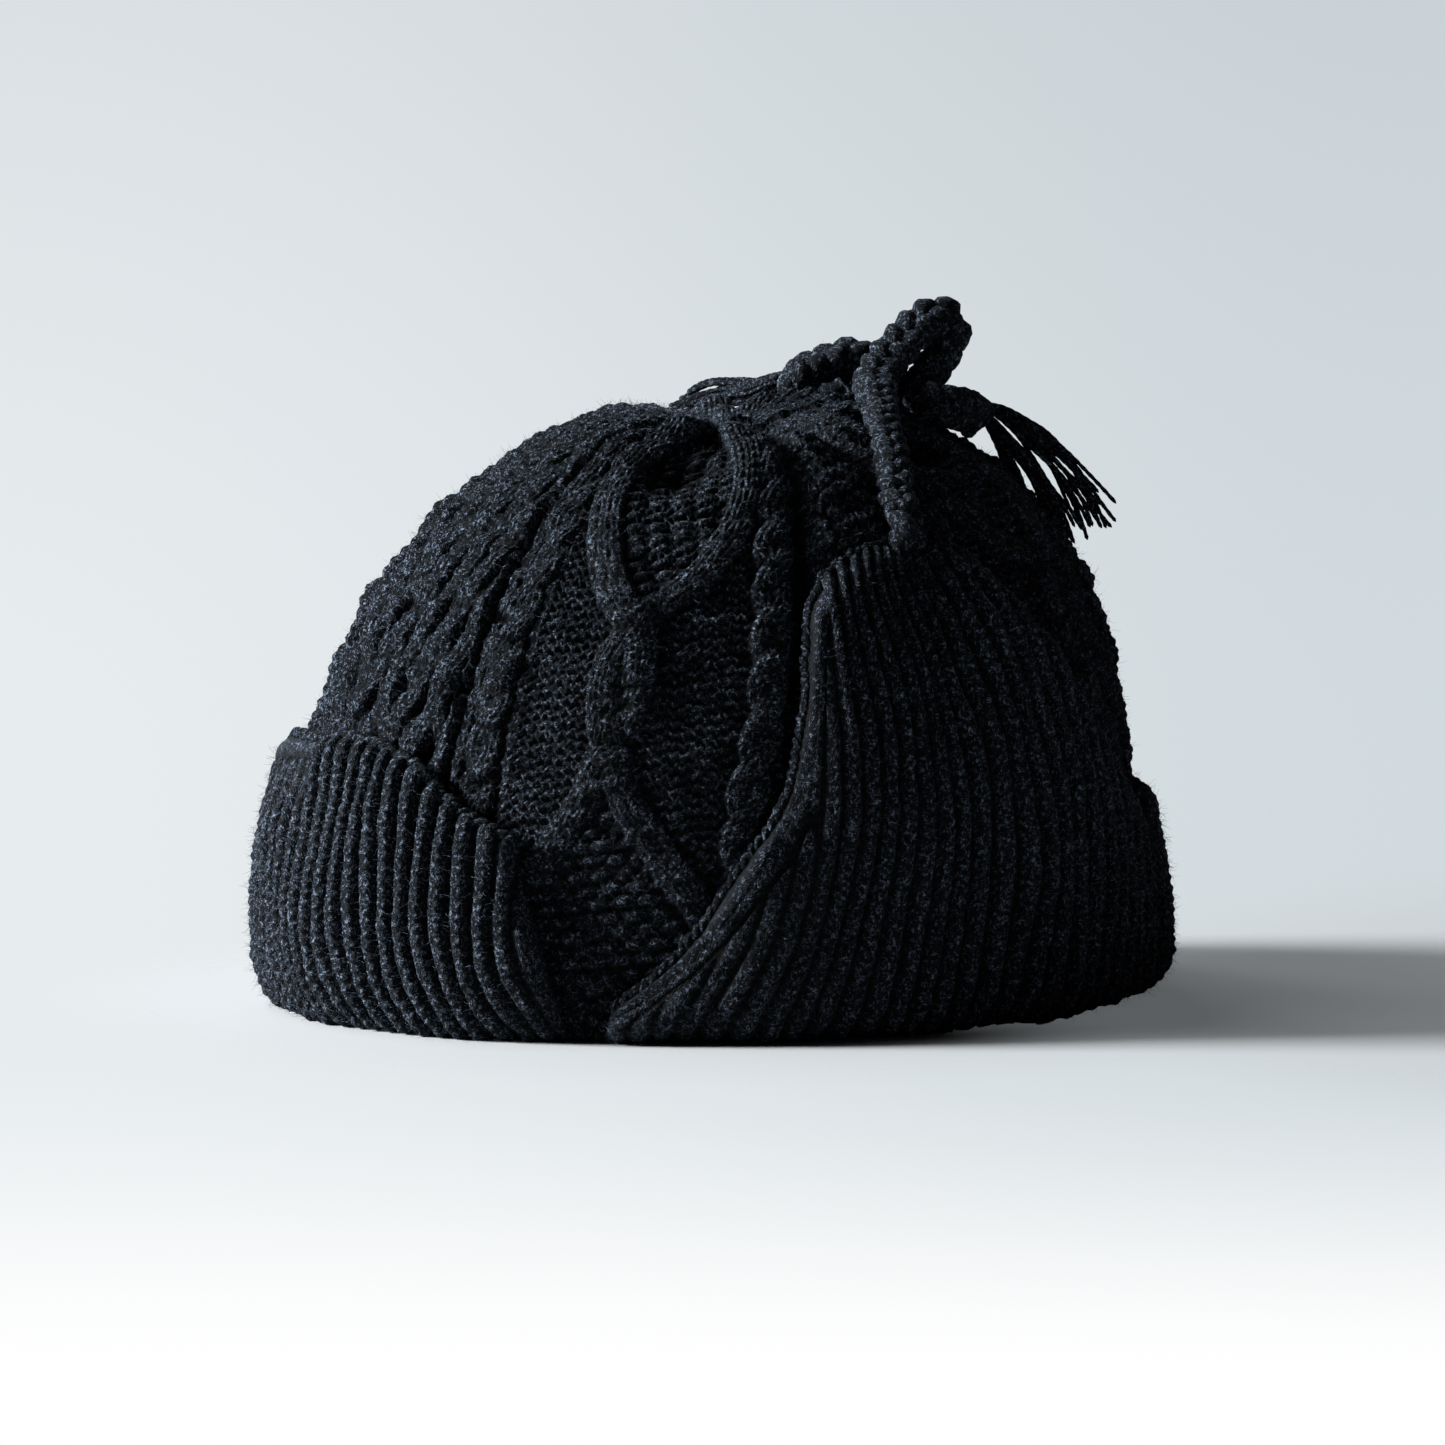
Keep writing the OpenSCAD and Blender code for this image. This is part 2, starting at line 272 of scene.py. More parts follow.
cable_wool = wool("cable_wool", 1.25, 0.6)
rib_wool = wool("rib_wool", 0.80, 0.45, 0.7)
braid_wool = wool("braid_wool", 1.2, 0.4)
edge_wool = wool("edge_wool", 1.4, 0.3)


def unit(v):
    return v / np.linalg.norm(v, axis=-1, keepdims=True)


def curve(points, steps):
    """Smooth curve through points, with steps pieces between each two of them."""
    p = np.asarray(points, float)
    p = np.vstack([p[:1], p, p[-1:]])
    t = np.linspace(0, 1, steps, endpoint=False)[:, None]
    runs = [0.5 * (2 * b + (c - a) * t + (2 * a - 5 * b + 4 * c - d) * t ** 2
                   + (3 * b - a - 3 * c + d) * t ** 3)
            for a, b, c, d in zip(p, p[1:], p[2:], p[3:])]
    return np.vstack(runs + [p[-1:]])


def lengths(path):
    return np.concatenate([[0], np.cumsum(np.linalg.norm(np.diff(path, axis=0), axis=1))])


def evenly(path, step):
    """The same path with points about step apart."""
    run = lengths(path)
    at = np.linspace(0, run[-1], max(3, round(run[-1] / step) + 1))
    return np.stack([np.interp(at, run, path[:, k]) for k in range(3)], 1)


def frames(path, up=(0, 0, 1)):
    """Sideways and upward directions along a path, carried on without twist."""
    ahead = unit(np.gradient(path, axis=0))
    ups = []
    now = np.array(up, float)
    for t in ahead:
        now = unit(now - now @ t * t)
        ups.append(now)
    ups = np.array(ups)
    return np.cross(ahead, ups), ups


def make_piece(name, parts, material, body=None):
    """Joins parts, each (points in mm, faces, map, stitch height that also sets the painted shade), into one
    smooth piece on a body.
    """
    points, faces, maps, relief_shades = [], [], [], []
    first = 0
    for p, f, uv, relief in parts:
        points.append(p)
        faces += [[k + first for k in q] for q in f]
        for q in f:
            corner = uv[list(q)]
            if np.ptp(corner[:, 0]) > 4:
                corner = corner + np.where(corner[:, :1] < corner[:, 0].mean(), [[8, 0]], [[0, 0]])
            maps.append(corner)
        relief_shades.append(relief)
        first += len(p)
    mesh = bpy.data.meshes.new(name)
    mesh.from_pydata((np.vstack(points) * MM).tolist(), [], faces)
    mesh.uv_layers.new(name="knit").data.foreach_set("uv", np.vstack(maps).astype(np.float32).ravel())
    mesh.attributes.new("relief", "FLOAT", "POINT").data.foreach_set(
        "value", np.concatenate(relief_shades).astype(np.float32))
    mesh.polygons.foreach_set("use_smooth", [True] * len(mesh.polygons))
    mesh.materials.append(material)
    piece = bpy.data.objects.new(name, mesh)
    scene.collection.objects.link(piece)
    if body:
        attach(piece, body)
    return piece


def yarn(path, radius, sides, ply=0.10, plies=3, lay_length=5.0, ends=True):
    """A twisted yarn along path, round-ended. radius is a number or one for each point."""
    side, up = frames(path)
    run = lengths(path)
    radius = np.broadcast_to(np.asarray(radius, float), len(path)).copy()
    if ends:
        tip = np.minimum(run, run[-1] - run) / radius.mean()
        radius *= np.sqrt(np.clip(1 - (1 - np.clip(tip, 0.02, 1)) ** 2, 0.02, 1))
    turn = np.linspace(0, 2 * np.pi, sides, endpoint=False)
    ridge = np.cos(plies * (turn[None] - 2 * np.pi * run[:, None] / (lay_length * plies)))
    r = radius[:, None] * (1 + ply * ridge)
    rings = (path[:, None] + (r * np.cos(turn))[..., None] * side[:, None]
             + (r * np.sin(turn))[..., None] * up[:, None])
    n = len(path)
    i, k = np.meshgrid(np.arange(n - 1), np.arange(sides), indexing="ij")
    j = (k + 1) % sides
    here, above = i * sides, (i + 1) * sides
    faces = np.stack([here + k, here + j, above + j, above + k], -1).reshape(-1, 4).tolist()
    faces += [[n * sides, (q + 1) % sides, q] for q in range(sides)]
    faces += [[n * sides + 1, (n - 1) * sides + q, (n - 1) * sides + (q + 1) % sides] for q in range(sides)]
    points = np.vstack([rings.reshape(-1, 3), path[:1], path[-1:]])
    uv = np.stack(np.broadcast_arrays(8 * turn[None] / (2 * np.pi), run[:, None] / 2.7), -1).reshape(-1, 2)
    uv = np.vstack([uv, uv[:1], uv[-1:]])
    # Painted shade: darker in the grooves between the plies.
    relief = np.concatenate([(0.75 + 0.25 * ridge).ravel(), [0.8, 0.8]])
    return points, faces, uv, relief


# Loose fibres. Wool is hairy: short fibres stand off the tops of the stitches, at random angles, and
# catch the light.
FIBRE_WIDTH = 0.085
chance = np.random.default_rng(7)


def fibres(name, piece, count, long, body=None):
    mesh = piece.data
    points = np.empty(len(mesh.vertices) * 3, np.float32)
    mesh.vertices.foreach_get("co", points)
    outward = np.empty(len(mesh.vertices) * 3, np.float32)
    mesh.vertices.foreach_get("normal", outward)
    proud = np.empty(len(mesh.vertices), np.float32)
    mesh.attributes["relief"].data.foreach_get("value", proud)
    points, outward = points.reshape(-1, 3) / MM, outward.reshape(-1, 3)
    root = chance.choice(np.flatnonzero(proud > 0.62), count)
    way = unit(outward[root] * chance.uniform(0.25, 1.0, (count, 1)) + chance.normal(size=(count, 3)) * 0.45)
    bend = unit(np.cross(way, chance.normal(size=(count, 3))))
    reach = long * chance.uniform(0.35, 1.0, (count, 1)) ** 1.5
    side, up = bend, np.cross(way, bend)
    rings = []
    for share in (0, 0.35, 0.7, 1.0):
        centre = points[root] - way * 0.15 + way * reach * share + bend * reach * 0.35 * share ** 2
        wide = FIBRE_WIDTH / 2 * (1 - 0.6 * share)
        rings += [centre + wide * (math.cos(a) * side + math.sin(a) * up) for a in (0, 2.1, 4.2)]
    mesh_points = np.stack(rings, 1).reshape(-1, 3)
    faces = np.array([[3 * r + k, 3 * r + (k + 1) % 3, 3 * r + 3 + (k + 1) % 3, 3 * r + 3 + k]
                      for r in range(3) for k in range(3)])
    starts = np.arange(count)[:, None, None] * 12
    quads = (faces[None] + starts).reshape(-1, 4).tolist()
    ends = (np.array([[2, 1, 0], [9, 10, 11]])[None] + starts).reshape(-1, 3).tolist()
    uv = np.zeros((len(mesh_points), 2)) + 0.25
    return make_piece(name, [(mesh_points, quads + ends, uv, np.ones(len(mesh_points)))], fibre_wool,
                      body)


fibre_wool = wool("fibre_wool", 1.0, 0.0, 0.0, 0.4)

# Ties. Each is a plait of three thick woollen strands sewn to an ear flap's tip.
# They cross behind the gathered top, the left one loops up and back, and a knot holds the bow.
STRAND = 2.35
PLAIT_LENGTH = 15.0
left_route = [[70, 10, 124], [62, 14, 132], [50, 19, 140], [40, 24, 145], [30, 29, 149], [23, 33, 152],
              [20, 38, 157], [20, 43, 162], [20, 49, 167], [20, 55, 168], [20, 57, 163], [20, 52, 156],
              [22, 47, 150], [27, 46, 147], [29, 51, 146], [26, 57, 145], [22, 62, 144]]
right_route = [[-70, 11, 124], [-62, 17, 131], [-50, 25, 138], [-38, 31, 142], [-25, 35, 146],
               [-12, 37, 149], [-3, 39, 151], [0, 44, 152], [-5, 50, 149], [-12, 56, 146], [-18, 62, 142],
               [-15, 69, 138], [-7, 67, 139], [1, 61, 143], [7, 54, 147], [10, 47, 152], [10, 40, 157],
               [8, 33, 158], [6, 27, 156], [4, 22, 153]]
left_tail = [[22, 66, 145], [23, 70, 142], [24, 75, 137], [24, 81, 131], [26, 87, 121], [28, 92, 111]]
right_tail = [[-1, 21, 153], [-6, 21, 152], [-14, 21, 150], [-24, 20, 149], [-34, 18, 147], [-44, 15, 143]]
bow_knot_at = np.array([6.0, 42.0, 153.0])


def uneven(points, size, seed):
    """Smooth random unevenness from -1 to 1, with lumps about half of size apart."""
    draw = np.random.default_rng(seed)
    ways = unit(draw.normal(size=(14, 3))) * draw.uniform(0.7, 1.5, (14, 1)) * 2 * np.pi / size
    return sum(np.sin(points @ way + turn) for way, turn in zip(ways, draw.uniform(0, 7, 14))) / 4.5


def step(x, low, high):
    t = np.clip((x - low) / (high - low), 0, 1)
    return t * t * (3 - 2 * t)


def plait(path, bulk=1.0):
    """Three strands that weave over and under each other. bulk is 1 where the plait is pulled thin."""
    side, up = frames(path)
    run = lengths(path)
    bulk = np.broadcast_to(bulk, len(path))
    parts = []
    for strand in range(3):
        phase = 2 * np.pi * (run / PLAIT_LENGTH + strand / 3)
        line = (path + (2.2 * bulk * np.sin(phase))[:, None] * side
                + (1.3 * bulk * np.sin(2 * phase))[:, None] * up)
        line = line + 0.35 * uneven(line, 7, 11 + strand)[:, None] * up
        parts.append(yarn(line, STRAND * bulk, 14, ply=0.08, plies=3, lay_length=4.0))
    return parts


def make_tie(side_name, route):
    root = next(Vector(j["pos_m"]) for j in frame["joints"] if j["child"] == side_name + "_tie") / MM
    path = evenly(curve([list(root)] + route, 12), 0.55)
    bulk = 1 + 0.22 * step(np.linspace(0, 1, len(path)), 0.30, 0.42)
    piece = make_piece(side_name + "_braided_tie", plait(path, bulk), braid_wool,
                       side_name + "_tie")
    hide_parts(side_name + "_tie")
    return piece, path


def knot(centre, width, strand, tilt):
    """A tight overhand knot: one thick strand that winds over and under itself."""
    t = np.linspace(0, 2 * np.pi, 120, endpoint=False)
    loop = np.stack([np.sin(t) + 2 * np.sin(2 * t), np.cos(t) - 2 * np.cos(2 * t),
                     -1.1 * np.sin(3 * t)], 1) / 3
    loop = loop * (width / 2 - strand)
    (cos_x, sin_x), (cos_z, sin_z) = ((math.cos(math.radians(a)), math.sin(math.radians(a))) for a in tilt)
    spin_x = np.array([[1, 0, 0], [0, cos_x, -sin_x], [0, sin_x, cos_x]])
    spin_z = np.array([[cos_z, -sin_z, 0], [sin_z, cos_z, 0], [0, 0, 1]])
    line = loop @ spin_x.T @ spin_z.T + centre
    line = evenly(np.vstack([line, line[:1]]), 0.5)
    return [yarn(line, strand, 14, ply=0.1, plies=3, lay_length=4.0)]


END_KNOT, END_STRAND = 12.0, 2.9
BOW_KNOT, BOW_STRAND = 17.0, 3.7
left_tie, left_path = make_tie("left", left_route)
right_tie, right_path = make_tie("right", right_route)
left_knot = make_piece("left_tie_knot", knot(left_path[-1], END_KNOT, END_STRAND, (70, 20)), braid_wool,
                       "left_tie")
right_knot = make_piece("right_tie_knot", knot(right_path[-1], END_KNOT, END_STRAND, (60, -30)), braid_wool,
                        "right_tie")
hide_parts("left_end_knot")
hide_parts("right_end_knot")
bow_knot = make_piece("bow_wrap", knot(bow_knot_at, BOW_KNOT, BOW_STRAND, (80, 55)), braid_wool,
                      "right_tie")
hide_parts("bow_knot")

# Tassels. The plaits' strands run on past the end knots as loose yarns. They are spread and wavy, and
# each is cut at its own length.
TASSEL_YARNS = 40
YARN_WIDTH = 1.0


def tassel(side_name, tail, spread):
    middle = evenly(curve(tail, 8), 1.0)
    side, up = frames(middle)
    share = np.linspace(0, 1, len(middle))
    parts = []
    for _ in range(TASSEL_YARNS):
        angle, far = chance.uniform(0, 2 * np.pi), math.sqrt(chance.uniform(0.02, 1))
        wave_at, waves = chance.uniform(0, 2 * np.pi, 2), chance.uniform(0.5, 1.3, 2)
        out = 1.8 + (spread - 1.8) * share ** 0.65
        a = far * out * math.cos(angle) + 2.0 * share * np.sin(wave_at[0] + 2 * np.pi * waves[0] * share)
        b = (0.8 * far * out * math.sin(angle)
             + 1.6 * share * np.sin(wave_at[1] + 2 * np.pi * waves[1] * share))
        line = middle + a[:, None] * side + b[:, None] * up
        line = line[:max(12, round(len(line) * chance.uniform(0.78, 1.0)))]
        parts.append(yarn(evenly(line, 0.75), YARN_WIDTH / 2, 7, ply=0.14, plies=2, lay_length=2.6))
    piece = make_piece(side_name + "_tassel_yarns", parts, edge_wool, side_name + "_tie")
    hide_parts(side_name + "_tassel")
    return piece


left_tassel = tassel("left", left_tail, 15.0)
right_tassel = tassel("right", right_tail, 6.5)

# Crown. It is knitted in the round: a lattice of cables at the front and the back, rope cables and
# travelling diamonds between, and a purl ground. Here it is six panels that meet edge to edge.
half_w, half_l = (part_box("rim_band")[1][k] / MM for k in (0, 1))
crown_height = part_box("crown_shell")[1].z / MM
WALL = 5.0
EASE = -1.0
WALES = 240
COURSE = 2.7
GATHER = np.array([24.0, -8.0])


def shoulder(phi):
    return 3.2 - 0.8 * np.cos(np.radians(phi))


def brow(phi):
    return 2.15 - 0.15 * np.cos(np.radians(phi))


def dome(phi, s, off):
    """Point of the crown at angle phi, where s runs from 0 at the ground to 1 at the gather."""
    w = np.clip(np.cos(np.pi / 2 * s), 0, 1) ** (2 / brow(phi))
    z = (crown_height + off) * np.sin(np.pi / 2 * s) ** (2 / shoulder(phi))
    drawn = (1 - w) ** 1.5
    return np.stack([(half_w + off) * w * np.sin(np.radians(phi)) + drawn * GATHER[0],
                     -(half_l + off) * w * np.cos(np.radians(phi)) + drawn * GATHER[1], z], -1), w


def sag(phi, w):
    """How far the cloth sinks round the gather, most on the side of the left temple."""
    near = (0.5 + 0.5 * np.cos(np.radians(phi - 62))) ** 1.2
    return 9.0 * (near * (1 - step(w, 0.12, 0.50)) + (1 - near) * np.exp(-(w / 0.20) ** 2))


def blurred(a, reach):
    """Moving average of a grid over reach points each way."""
    for axis in (0, 1):
        pad = [(reach + 1, reach) if k == axis else (0, 0) for k in (0, 1)]
        total = np.cumsum(np.pad(a, pad, mode="edge"), axis)
        n = total.shape[axis]
        window = 2 * reach + 1
        a = (np.take(total, range(window, n), axis) - np.take(total, range(n - window), axis)) / window
    return a


def wave(t):
    return 0.5 + 0.5 * np.cos(2 * np.pi * t)


def hump(x):
    return np.sqrt(np.clip(1 - x * x, 0, 1))


def knit(u, v):
    x = np.abs(u % 1 - 0.5)
    return hump((x - 0.25) / 0.28) * (0.55 + 0.45 * wave(v - 1.2 * x))


def purl(u, v):
    return wave(v + 0.22 * np.cos(2 * np.pi * u)) * (0.72 + 0.28 * wave(u))


def moss(u, v):
    shift = np.floor(v) % 2 / 2
    return hump(((u + shift) % 1 - 0.5) / 0.5) * hump((v % 1 - 0.5) / 0.52)


levels = np.linspace(0, 0.999, 2000)
meridian, _ = dome(np.full(2000, 50.0), levels, 0)
climb = lengths(meridian)
COURSES = round(climb[-1] / COURSE)
ROWS = COURSES * 4


def up_cloth(z):
    """Distance up the cloth from the ground to height z."""
    return np.interp(z, meridian[:, 2], climb)


def strand_line(points, y):
    """Angle of a cable's middle at distance y up the cloth, from (angle, height) points from the foot up."""
    p = np.array(points, float)
    p[:, 1] = up_cloth(p[:, 1])
    p = curve(p, 8)
    return np.interp(y, p[:, 1], p[:, 0])


rope_front = [(30, 0), (30.2, 60), (30.5, 78), (30.8, 96), (32, 115), (30, 131), (24, 142), (22, 147)]
rope_side = [(66, 0), (68.2, 49), (71.2, 70), (72.8, 92), (74.2, 110), (76.0, 120), (78.0, 129), (79, 137),
             (80, 147)]
travel_a = [(30, 10), (36, 32), (41.8, 45), (46.5, 57), (48.6, 66), (51.8, 74), (53.2, 84), (52.6, 93),
            (49.4, 100), (46.0, 107), (43.0, 115), (40.2, 124), (38.5, 133), (41, 140), (46, 147)]
travel_b = [(70, 10), (61, 32), (56.5, 44), (52.6, 55), (50.4, 66), (48.6, 74), (48.2, 84), (49.6, 91),
            (54.2, 99), (60.0, 104), (65.2, 112), (69.0, 120), (71.0, 128), (71.5, 135), (70, 141),
            (66, 147)]


def crown_relief(phi, y, w):
    """Height of the stitches over the cloth in mm, and the wale and course of each point."""
    turn = (phi + 180) % 360 - 180
    f = np.abs(turn)
    f = np.where(f > 90, 180 - f, f)
    around = np.radians(phi)
    mm_per_degree = w * np.pi / 180 * np.hypot(half_w * np.cos(around), half_l * np.sin(around))
    thin = np.where(w > 0.52, 1.0, np.where(w > 0.24, 0.5, 0.25))
    u, v = phi * WALES / 360 * thin, y / COURSE
    height = 1.5 * purl(u, v + 0.18 * np.sin(2.1 * u + 1.3 * np.sin(0.7 * v)))
    proud = 1 + 0.9 * step(w, 0.55, 0.2)
    top = step(w, 0.55, 0.2)
    height -= 2.0 * top

    def lay(h, new_u, new_v):
        nonlocal height, u, v
        over = h > height
        height, u, v = np.where(over, h, height), np.where(over, new_u, u), np.where(over, new_v, v)

    def ridge(middle, wide, tall, wales, lift=0.0):
        slope = np.gradient(middle, axis=1) / np.maximum(np.gradient(y, axis=1), 1e-6) * mm_per_degree
        lean = 1 / np.sqrt(1 + slope ** 2)
        x = (f - middle) * mm_per_degree * lean / (wide / 2)
        nu, nv = (x + 1) * wales / 2 + 0.001, y / (COURSE * lean)
        body = np.where(np.abs(x) < 1, hump(x) ** 0.5 * tall * proud + lift, -9)
        lay(body + 1.3 * (knit(nu, nv) - 0.5) * (np.abs(x) < 1), nu, nv)

    # moss stitch inside the diamonds
    a, b = strand_line(travel_a, y), strand_line(travel_b, y)
    low, high = np.minimum(a, b), np.maximum(a, b)
    inside = (f > low) & (f < high) & (np.abs(y - up_cloth(80)) > 15)
    across, up = f * mm_per_degree / 6.6, y / 3.4
    lay(np.where(inside, 2.8 * moss(across, up) - 1.0, -9), across * 2, up)
    height = height - np.where(inside, 4.0 * top, 0)

    ridge(a, 8.2, 2.4, 3, 0.5 * np.sign(y - up_cloth(82)))
    ridge(b, 8.2, 2.4, 3)

    # rope cables: two strands that twist round each other
    for line, wide, tall, repeat in ((rope_front, 9.0, 3.0, 22.0), (rope_side, 10.5, 3.4, 24.0)):
        middle = strand_line(line, y)
        for strand in (0, 0.5):
            phase = 2 * np.pi * (y / repeat + strand)
            swing = middle + 0.20 * wide * np.sin(phase) / np.maximum(mm_per_degree, 0.25)
            ridge(swing, 0.64 * wide, tall * 0.75, 2, 0.45 * np.cos(phase))

    # plain ridges beside the rope cables
    ridge(strand_line([(26.4, 0), (26.6, 80), (27.2, 115), (25.5, 132), (20, 147)], y), 3.2, 1.5, 1)
    ridge(strand_line([(34.6, 0), (34.8, 80), (36.0, 115), (34.5, 132), (30, 147)], y), 2.6, 0.9, 1)

    # lattice of slanting cables that pass over and under each other
    in_lattice = f < 24.6
    height = np.where(in_lattice, height - 1.2, height)
    for way in (1, -1):
        for column in range(-9, 10):
            middle = way * (y - 12) / 32.0 * 6.2 + column * 6.2 + (0 if way == 1 else 3.1)
            near = np.abs(f - middle) < 4
            if (near & in_lattice).any():
                over = 0.55 * way + 0.7 * np.sin(2 * np.pi * (y / 16 + 0.25 * way + column * 0.5))
                kept = height, u, v
                ridge(middle, 5.4 + 0.6 * way, 3.0, 2, over)
                height, u, v = (np.where(in_lattice, new, old) for new, old in zip((height, u, v), kept))

    # plaits over the ears
    for column in (82.5, 87.5):
        for strand in range(3):
            phase = 2 * np.pi * (y / 16.0 + strand / 3)
            ridge(column + 1.5 * np.sin(phase), 3.6, 2.0, 1, 0.6 * np.sin(2 * phase))

    # deep furrow where the rope cable over the temple folds in
    furrow = [(73, 0), (75.2, 69), (77.2, 83), (78.5, 101), (79.6, 115), (81.5, 128), (84, 147)]
    deep = np.exp(-((f - strand_line(furrow, y)) * mm_per_degree / 3.0) ** 2) * 3.6 * step(y, 30, 90)
    # the cloth is drawn in under the top of the diamond, and the last cables bunch up over it
    hollow = np.exp(-((f - 54.0) * mm_per_degree / 9.0) ** 2 - ((y - up_cloth(132)) / 7.5) ** 2)
    bunched = np.exp(-((f - 46.0) * mm_per_degree / 14.0) ** 2 - ((y - up_cloth(143.5)) / 6.0) ** 2)
    height = height - deep - 5.5 * hollow + 2.5 * bunched
    return height, u, v


def zip_edges(a, b, flip):
    """Triangles between two rows of points with different counts."""
    faces, i, j = [], 0, 0
    while i < len(a) - 1 or j < len(b) - 1:
        if j == len(b) - 1 or (i < len(a) - 1 and (i + 1) / (len(a) - 1) <= (j + 1) / (len(b) - 1)):
            face, i = [a[i], a[i + 1], b[j]], i + 1
        else:
            face, j = [a[i], b[j + 1], b[j]], j + 1
        faces.append(face[::-1] if flip else face)
    return faces


def grid_faces(ids, flip=False):
    a = np.stack([ids[:-1, :-1], ids[1:, :-1], ids[1:, 1:], ids[:-1, 1:]], -1).reshape(-1, 4)
    return (a[:, ::-1] if flip else a).tolist()


RIM_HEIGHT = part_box("rim_band")[1].z / MM
row_y = np.linspace(up_cloth(RIM_HEIGHT - 2.5), climb[-1], ROWS)
row_s = np.interp(row_y, climb, levels)


def crown_panel(name, start, end):
    """One panel of the crown between two angles: a stitched outside and a smooth lining side."""
    columns = round((end - start) * WALES / 360 * 4) + 1
    phi = np.linspace(start, end, columns)
    PHI, S = np.meshgrid(np.r_[phi[0] - 0.375, phi, phi[-1] + 0.375], row_s, indexing="ij")
    _, Y = np.meshgrid(PHI[:, 0], row_y, indexing="ij")
    base, w = dome(PHI, S, EASE)
    out = unit(np.cross(np.gradient(base, axis=0), np.gradient(base, axis=1)) + 1e-9)
    height, u, v = crown_relief(PHI, Y, w)
    height = height + 0.6 * uneven(base, 16, 3) + 0.4 * uneven(base, 6, 4)
    height = height * (1 - 0.6 * np.exp(-(w / 0.08) ** 2))
    outside = base + out * height[..., None]
    outside[..., 2] -= sag(PHI, w)
    outside, height, u, v = (a[1:-1] for a in (outside, height, u, v))
    inner_phi = np.linspace(start, end, max(4, columns // 6))
    inner_s = np.interp(np.linspace(row_y[0], climb[-1], 40), climb, levels)
    A, B = np.meshgrid(inner_phi, inner_s, indexing="ij")
    inside, wi = dome(A, B, EASE - WALL)
    inside[..., 2] -= sag(A, wi)
    n = outside[..., 0].size
    out_ids = np.arange(n).reshape(outside.shape[:2])
    in_ids = n + np.arange(inside[..., 0].size).reshape(inside.shape[:2])
    faces = grid_faces(out_ids) + grid_faces(in_ids, True)
    faces += zip_edges(out_ids[0], in_ids[0], False) + zip_edges(out_ids[-1], in_ids[-1], True)
    faces += zip_edges(out_ids[:, 0], in_ids[:, 0], True) + zip_edges(out_ids[:, -1], in_ids[:, -1], False)
    uv = np.vstack([np.stack([u, v], -1).reshape(-1, 2),
                    np.stack([A * WALES / 360, B * COURSES], -1).reshape(-1, 2)])
    # Painted shade: darker where a point lies below its neighbours and where the cloth lies deep.
    relief = np.clip(0.5 + (height - blurred(height, 4)) / 1.2, 0, 1) * np.clip((height + 3.5) / 3.5, 0.2, 1)
    relief = np.concatenate([relief.ravel(), np.full(inside[..., 0].size, 0.6)])
    points = np.vstack([outside.reshape(-1, 3), inside.reshape(-1, 3)])
    piece = make_piece(name, [(points, faces, uv, relief)], cable_wool, "crown")
    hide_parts("crown_shell")
    hairs = fibres(name + "_fibres", piece, 2400, 3.0, "crown")


for name, start, end in (("crown_front", -36, 36), ("crown_left_front", 36, 90),
                         ("crown_left_back", 90, 144), ("crown_back", 144, 216),
                         ("crown_right_back", 216, 270), ("crown_right_front", 270, 324)):
    crown_panel(name, start, end)

# Flaps. A ribbed band turned up outside the crown: a cuff at the brow and the neck, and a pointed
# flap over each ear. Each rolls over at the fold and stands off the crown at its free edge.
RIB, EAR_RIB = 5.3, 6.0
front_edge = [[-43, 0.68], [-40, 0.72], [-32, 0.82], [-26, 0.93], [-18, 0.98], [0, 1],
              [18, 0.98], [26, 0.93], [32, 0.82], [40, 0.72], [43, 0.68]]
ear_edge = [[51, 0.06], [56, 0.13], [61, 0.20], [67, 0.32], [72, 0.46], [75.5, 0.63], [77.5, 0.80],
            [79.5, 0.90], [84, 0.955], [90, 0.985], [96, 1], [103, 0.985], [108.5, 0.945], [113, 0.86],
            [118, 0.75], [123, 0.64], [129, 0.53], [135, 0.46], [141, 0.43]]
neck_edge = [[142, 0.98], [152, 0.99], [165, 1], [180, 1], [195, 1], [208, 0.99], [218, 0.98]]
FLAP_GAP = 1.0
LIFT = 1.0


def on_crown(phi, z, off):
    """Point at angle phi and height z on a surface that lies off outside the crown."""
    w = np.clip(1 - np.clip(z / (crown_height + off), 0, 1) ** shoulder(phi), 0, 1) ** (1 / brow(phi))
    return np.stack([(half_w + off) * w * np.sin(np.radians(phi)),
                     -(half_l + off) * w * np.cos(np.radians(phi)), z], -1)


def rib(u, v):
    """Height of one-by-one rib: a chain of knit stitches standing over a purl furrow."""
    x = np.abs(u % 1 - 0.5) * RIB
    ridge = hump(x / 2.0)
    legs = hump((x - 0.85) / 0.95) * (0.5 + 0.5 * wave(v - 0.3 * x))
    return (1.9 + 0.3 * wave(v)) * ridge + 0.8 * legs + 0.3 * wave(v + 0.5) * (x > 1.6)


